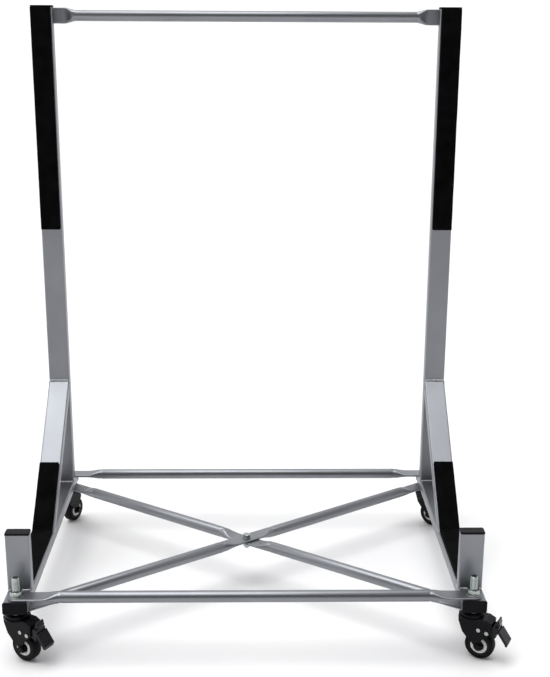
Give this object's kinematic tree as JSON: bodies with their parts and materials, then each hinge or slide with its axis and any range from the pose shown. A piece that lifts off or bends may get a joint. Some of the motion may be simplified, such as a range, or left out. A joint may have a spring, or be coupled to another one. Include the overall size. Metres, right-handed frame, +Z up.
{
  "type": "rolling panel storage stand",
  "caption": "Silver tubular stand on casters that stores a removable roof panel upright, with foam-lined side frames, round cross bars and crossed diagonals.",
  "frame": {"origin": "on the floor, at the centre of the rectangle made by the caster stems", "axes": "+X to the stand's left-to-right as seen from the front, +Y to the back, +Z up"},
  "size_m": [0.8475, 0.6075, 1.0565],
  "materials": {
    "silver_powder_coat": "satin silver powder coat",
    "foam": "black closed-cell foam strip, matt",
    "black_plastic": "moulded black plastic",
    "zinc_steel": "bright zinc plate",
    "black_fork": "black coated pressed steel",
    "tyre_rubber": "black moulded tread",
    "wheel_ring": "pale grey moulded trim",
    "wheel_core": "moulded black plastic"
  },
  "bodies": {
    "frame": {"caster_stems": "zinc_steel", "cross_bolt": "zinc_steel", "cross_nut": "zinc_steel", "cross_washers": "zinc_steel", "front_bar": "silver_powder_coat", "left_base_rail": "silver_powder_coat", "left_brace": "silver_powder_coat", "left_lower_pad": "foam", "left_post": "silver_powder_coat", "left_upper_pad": "foam", "left_upright": "silver_powder_coat", "lower_diagonal": "silver_powder_coat", "post_caps": "black_plastic", "rail_end_caps": "black_plastic", "rear_bar": "silver_powder_coat", "right_base_rail": "silver_powder_coat", "right_brace": "silver_powder_coat", "right_lower_pad": "foam", "right_post": "silver_powder_coat", "right_upper_pad": "foam", "right_upright": "silver_powder_coat", "stem_nuts": "zinc_steel", "stem_washers": "zinc_steel", "swivel_cups": "black_fork", "top_bar": "silver_powder_coat", "top_bar_bolts": "zinc_steel", "top_bar_rivet_nuts": "zinc_steel", "top_bar_washers": "zinc_steel", "upper_diagonal": "silver_powder_coat", "upright_caps": "black_plastic"},
    "front_left_swivel": {"front_left_fork": "black_fork", "front_left_axle": "zinc_steel", "front_left_fork_pins": "zinc_steel"},
    "front_left_wheel": {"front_left_tyre": "tyre_rubber", "front_left_hub": "wheel_core", "front_left_trim_rings": "wheel_ring", "front_left_bush": "wheel_core"},
    "front_left_brake": {"front_left_brake_pedal": "black_fork"},
    "front_right_swivel": {"front_right_fork": "black_fork", "front_right_axle": "zinc_steel", "front_right_fork_pins": "zinc_steel"},
    "front_right_wheel": {"front_right_tyre": "tyre_rubber", "front_right_hub": "wheel_core", "front_right_trim_rings": "wheel_ring", "front_right_bush": "wheel_core"},
    "front_right_brake": {"front_right_brake_pedal": "black_fork"},
    "rear_left_swivel": {"rear_left_fork": "black_fork", "rear_left_axle": "zinc_steel"},
    "rear_left_wheel": {"rear_left_tyre": "tyre_rubber", "rear_left_hub": "wheel_core", "rear_left_trim_rings": "wheel_ring", "rear_left_bush": "wheel_core"},
    "rear_right_swivel": {"rear_right_fork": "black_fork", "rear_right_axle": "zinc_steel"},
    "rear_right_wheel": {"rear_right_tyre": "tyre_rubber", "rear_right_hub": "wheel_core", "rear_right_trim_rings": "wheel_ring", "rear_right_bush": "wheel_core"}
  },
  "joints": [
    {"name": "front_left_swivel_turn", "type": "hinge", "parent": "frame", "child": "front_left_swivel", "pos_m": [-0.38, -0.262, 0.08], "axis": [0, 0, 1], "continuous": true},
    {"name": "front_left_wheel_spin", "type": "hinge", "parent": "front_left_swivel", "child": "front_left_wheel", "pos_m": [-0.36571, -0.27025, 0.025], "axis": [0.5, 0.866, 0], "continuous": true},
    {"name": "front_left_brake_press", "type": "hinge", "parent": "front_left_swivel", "child": "front_left_brake", "pos_m": [-0.35402, -0.277, 0.0535], "axis": [0.5, 0.866, 0], "range_deg": [0, 18]},
    {"name": "front_right_swivel_turn", "type": "hinge", "parent": "frame", "child": "front_right_swivel", "pos_m": [0.38, -0.262, 0.08], "axis": [0, 0, 1], "continuous": true},
    {"name": "front_right_wheel_spin", "type": "hinge", "parent": "front_right_swivel", "child": "front_right_wheel", "pos_m": [0.39457, -0.26975, 0.025], "axis": [0.4695, 0.8829, 0], "continuous": true},
    {"name": "front_right_brake_press", "type": "hinge", "parent": "front_right_swivel", "child": "front_right_brake", "pos_m": [0.40649, -0.27608, 0.0535], "axis": [0.4695, 0.8829, 0], "range_deg": [0, 18]},
    {"name": "rear_left_swivel_turn", "type": "hinge", "parent": "frame", "child": "rear_left_swivel", "pos_m": [-0.38, 0.262, 0.08], "axis": [0, 0, 1], "continuous": true},
    {"name": "rear_left_wheel_spin", "type": "hinge", "parent": "rear_left_swivel", "child": "rear_left_wheel", "pos_m": [-0.37303, 0.27695, 0.025], "axis": [-0.9063, 0.4226, 0], "continuous": true},
    {"name": "rear_right_swivel_turn", "type": "hinge", "parent": "frame", "child": "rear_right_swivel", "pos_m": [0.38, 0.262, 0.08], "axis": [0, 0, 1], "continuous": true},
    {"name": "rear_right_wheel_spin", "type": "hinge", "parent": "rear_right_swivel", "child": "rear_right_wheel", "pos_m": [0.39167, 0.25033, 0.025], "axis": [0.7071, 0.7071, 0], "continuous": true}
  ]
}
